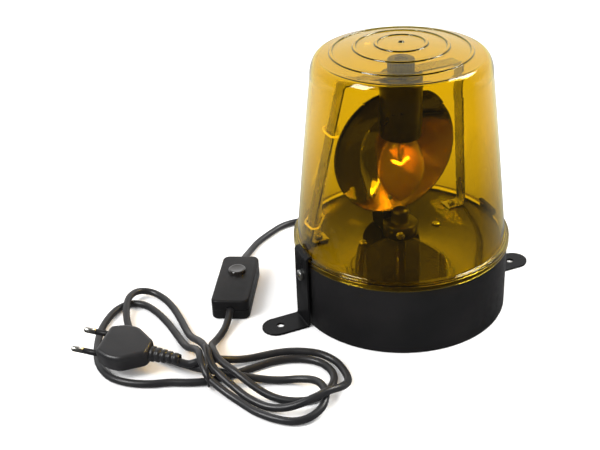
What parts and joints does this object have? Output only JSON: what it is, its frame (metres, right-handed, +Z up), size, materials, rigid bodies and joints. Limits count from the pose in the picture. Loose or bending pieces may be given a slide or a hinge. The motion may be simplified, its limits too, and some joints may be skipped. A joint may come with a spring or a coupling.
{
  "type": "rotating beacon",
  "caption": "Mains rotating beacon: amber ribbed dome on a round black base with two fixing feet, hanging lamp, spinning bowl reflector, cord with in-line switch and plug.",
  "frame": {"origin": "floor under the beacon's axis", "axes": "+Z up along the reflector's axis, +X through the right fixing foot, +Y where the cord leaves; the reflector faces -Y at rest"},
  "size_m": [0.3425, 0.2397, 0.1914],
  "materials": {
    "black_plastic": "moulded, satin; the deck is polished",
    "amber_plastic": "clear amber, polished",
    "black_steel": "black paint",
    "zinc_steel": "bright zinc plate",
    "chrome": "mirror",
    "bakelite": "moulded black",
    "brass": "plain",
    "glass": "clear",
    "tungsten": "drawn wire",
    "clear_sleeve": "clear sleeving over two wires",
    "white_plastic": "moulded white",
    "rubber": "satin black flex"
  },
  "bodies": {
    "housing": {"base_shell": "black_plastic", "bottom_cover": "black_plastic", "bottom_screw_1": "zinc_steel", "bottom_screw_2": "zinc_steel", "bottom_screw_3": "zinc_steel", "bracket_left": "black_steel", "bracket_nut_left": "zinc_steel", "bracket_nut_right": "zinc_steel", "bracket_right": "black_steel", "bracket_screw_left": "zinc_steel", "bracket_screw_right": "zinc_steel", "bulb_cap": "brass", "bulb_glass": "glass", "bulb_stem": "glass", "cord_gland": "rubber", "cord_tie": "black_plastic", "cord_to_hank": "rubber", "cord_to_plug": "rubber", "cord_to_switch": "rubber", "dome": "amber_plastic", "filament": "tungsten", "frame_screw_left": "zinc_steel", "frame_screw_right": "zinc_steel", "gearbox": "zinc_steel", "hank_left": "rubber", "hank_right": "rubber", "holder_contact": "brass", "holder_core": "white_plastic", "holder_nut": "bakelite", "holder_shell": "brass", "inner_lead": "rubber", "lamp_frame": "zinc_steel", "lamp_holder": "bakelite", "lamp_lead": "clear_sleeve", "lead_tie_lower": "black_plastic", "lead_tie_upper": "black_plastic", "motor_can": "zinc_steel", "motor_lead": "white_plastic", "motor_screw_1": "zinc_steel", "motor_screw_2": "zinc_steel", "pin_sleeve_1": "black_plastic", "pin_sleeve_2": "black_plastic", "plug_body": "rubber", "plug_pin_1": "zinc_steel", "plug_pin_2": "zinc_steel", "plug_relief": "rubber", "switch_contact": "brass", "switch_lower_shell": "black_plastic", "switch_screw": "zinc_steel", "switch_spring": "zinc_steel", "switch_upper_shell": "black_plastic", "terminal_block": "white_plastic"},
    "spinner": {"drive_shaft": "zinc_steel", "reflector_hub": "bakelite", "hub_set_screw": "zinc_steel", "reflector_arm": "bakelite", "arm_screw": "zinc_steel", "reflector_dish": "chrome"},
    "button": {"switch_button": "black_plastic"}
  },
  "joints": [
    {"name": "reflector_spin", "type": "hinge", "parent": "housing", "child": "spinner", "pos_m": [0, 0, 0.06], "axis": [0, 0, 1], "continuous": true},
    {"name": "switch_press", "type": "slide", "parent": "housing", "child": "button", "axis": [0, 0, -1], "range_m": [0, 0.0022], "stiffness_N_per_m": 400}
  ]
}
